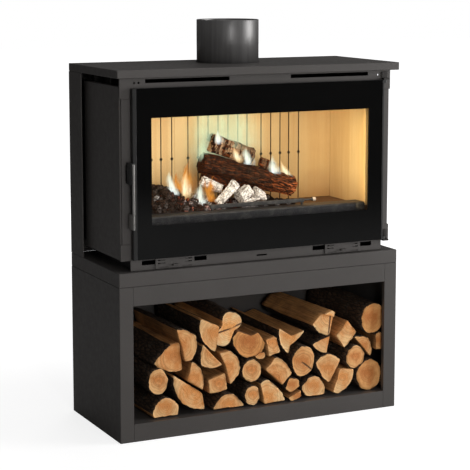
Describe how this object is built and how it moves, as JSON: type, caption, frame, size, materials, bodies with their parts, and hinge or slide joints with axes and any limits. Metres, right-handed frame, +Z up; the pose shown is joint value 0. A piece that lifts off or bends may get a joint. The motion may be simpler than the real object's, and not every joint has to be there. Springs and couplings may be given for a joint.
{
  "type": "wood burning stove",
  "caption": "Free-standing wood burning stove with a glass door, a short flue pipe and a box of split logs under the firebox.",
  "frame": {"origin": "on the floor, under the middle of the stove's body, which is 872 mm wide and 372 mm deep", "axes": "+X to the right of someone facing the door, +Y from the door to the back, +Z up"},
  "size_m": [0.872, 0.392, 1.14],
  "materials": {
    "anthracite_paint": "fine textured, matt",
    "black_paint": "satin",
    "pipe_paint": "satin",
    "door_glass": "polished, with a black enamel border",
    "bare_steel": "mill scale, sooty",
    "stainless": "brushed",
    "cast_iron": "rough cast",
    "vermiculite": "pressed mineral board, matt",
    "rope_seal": "knitted glass rope",
    "firewood": "split, with bark",
    "charred_wood": "burning bark",
    "embers": "charcoal and ash"
  },
  "bodies": {
    "body": {"store_left_side": "anthracite_paint", "store_right_side": "anthracite_paint", "store_floor": "anthracite_paint", "store_header": "anthracite_paint", "store_back": "anthracite_paint", "bench_slab": "anthracite_paint", "top_plate": "anthracite_paint", "rear_cover": "anthracite_paint", "left_side_panel": "anthracite_paint", "right_side_panel": "anthracite_paint", "air_plinth": "black_paint", "air_fascia": "anthracite_paint", "frame_top_rail": "anthracite_paint", "frame_bottom_rail": "anthracite_paint", "frame_left_stile": "anthracite_paint", "frame_right_stile": "anthracite_paint", "firebox_left_wall": "bare_steel", "firebox_right_wall": "bare_steel", "firebox_back_wall": "bare_steel", "firebox_floor": "bare_steel", "firebox_roof": "bare_steel", "flue_spigot": "bare_steel", "flue_pipe": "pipe_paint", "air_duct": "bare_steel", "lining_left": "vermiculite", "lining_right": "vermiculite", "lining_back_left": "vermiculite", "lining_back_centre": "vermiculite", "lining_back_right": "vermiculite", "baffle_board": "vermiculite", "hearth_support_left": "bare_steel", "hearth_support_right": "bare_steel", "hearth_board_left": "vermiculite", "hearth_board_right": "vermiculite", "grate": "cast_iron", "ash_pan": "bare_steel", "front_ledge": "cast_iron", "log_guard": "cast_iron", "latch_keeper": "bare_steel", "hinge_bracket_top": "bare_steel", "hinge_bracket_bottom": "bare_steel", "fire_log_main": "charred_wood", "fire_log_top": "charred_wood", "ember_bed": "embers", "firewood_stack_a": "firewood", "firewood_stack_b": "firewood", "firewood_stack_c": "firewood", "firewood_stack_d": "firewood"},
    "door": {"door_left_stile": "black_paint", "door_right_stile": "black_paint", "door_top_rail": "black_paint", "door_bottom_rail": "black_paint", "door_glass": "door_glass", "door_seal": "rope_seal", "handle_boss": "black_paint"},
    "handle": {"handle_lever": "stainless", "handle_grip": "stainless", "latch_spindle": "stainless"},
    "primary_air": {"primary_air_slide": "anthracite_paint"},
    "secondary_air": {"secondary_air_slide": "anthracite_paint"}
  },
  "joints": [
    {"name": "door_swing", "type": "hinge", "parent": "body", "child": "door", "pos_m": [0.397, -0.171, 0.7355], "axis": [0, 0, 1], "range_deg": [0, 110]},
    {"name": "handle_turn", "type": "hinge", "parent": "door", "child": "handle", "pos_m": [-0.3985, -0.2, 0.752], "axis": [0, 1, 0], "range_deg": [0, 75]},
    {"name": "primary_air_travel", "type": "slide", "parent": "body", "child": "primary_air", "axis": [1, 0, 0], "range_m": [-0.03, 0.03]},
    {"name": "secondary_air_travel", "type": "slide", "parent": "body", "child": "secondary_air", "axis": [1, 0, 0], "range_m": [-0.03, 0.03]}
  ]
}
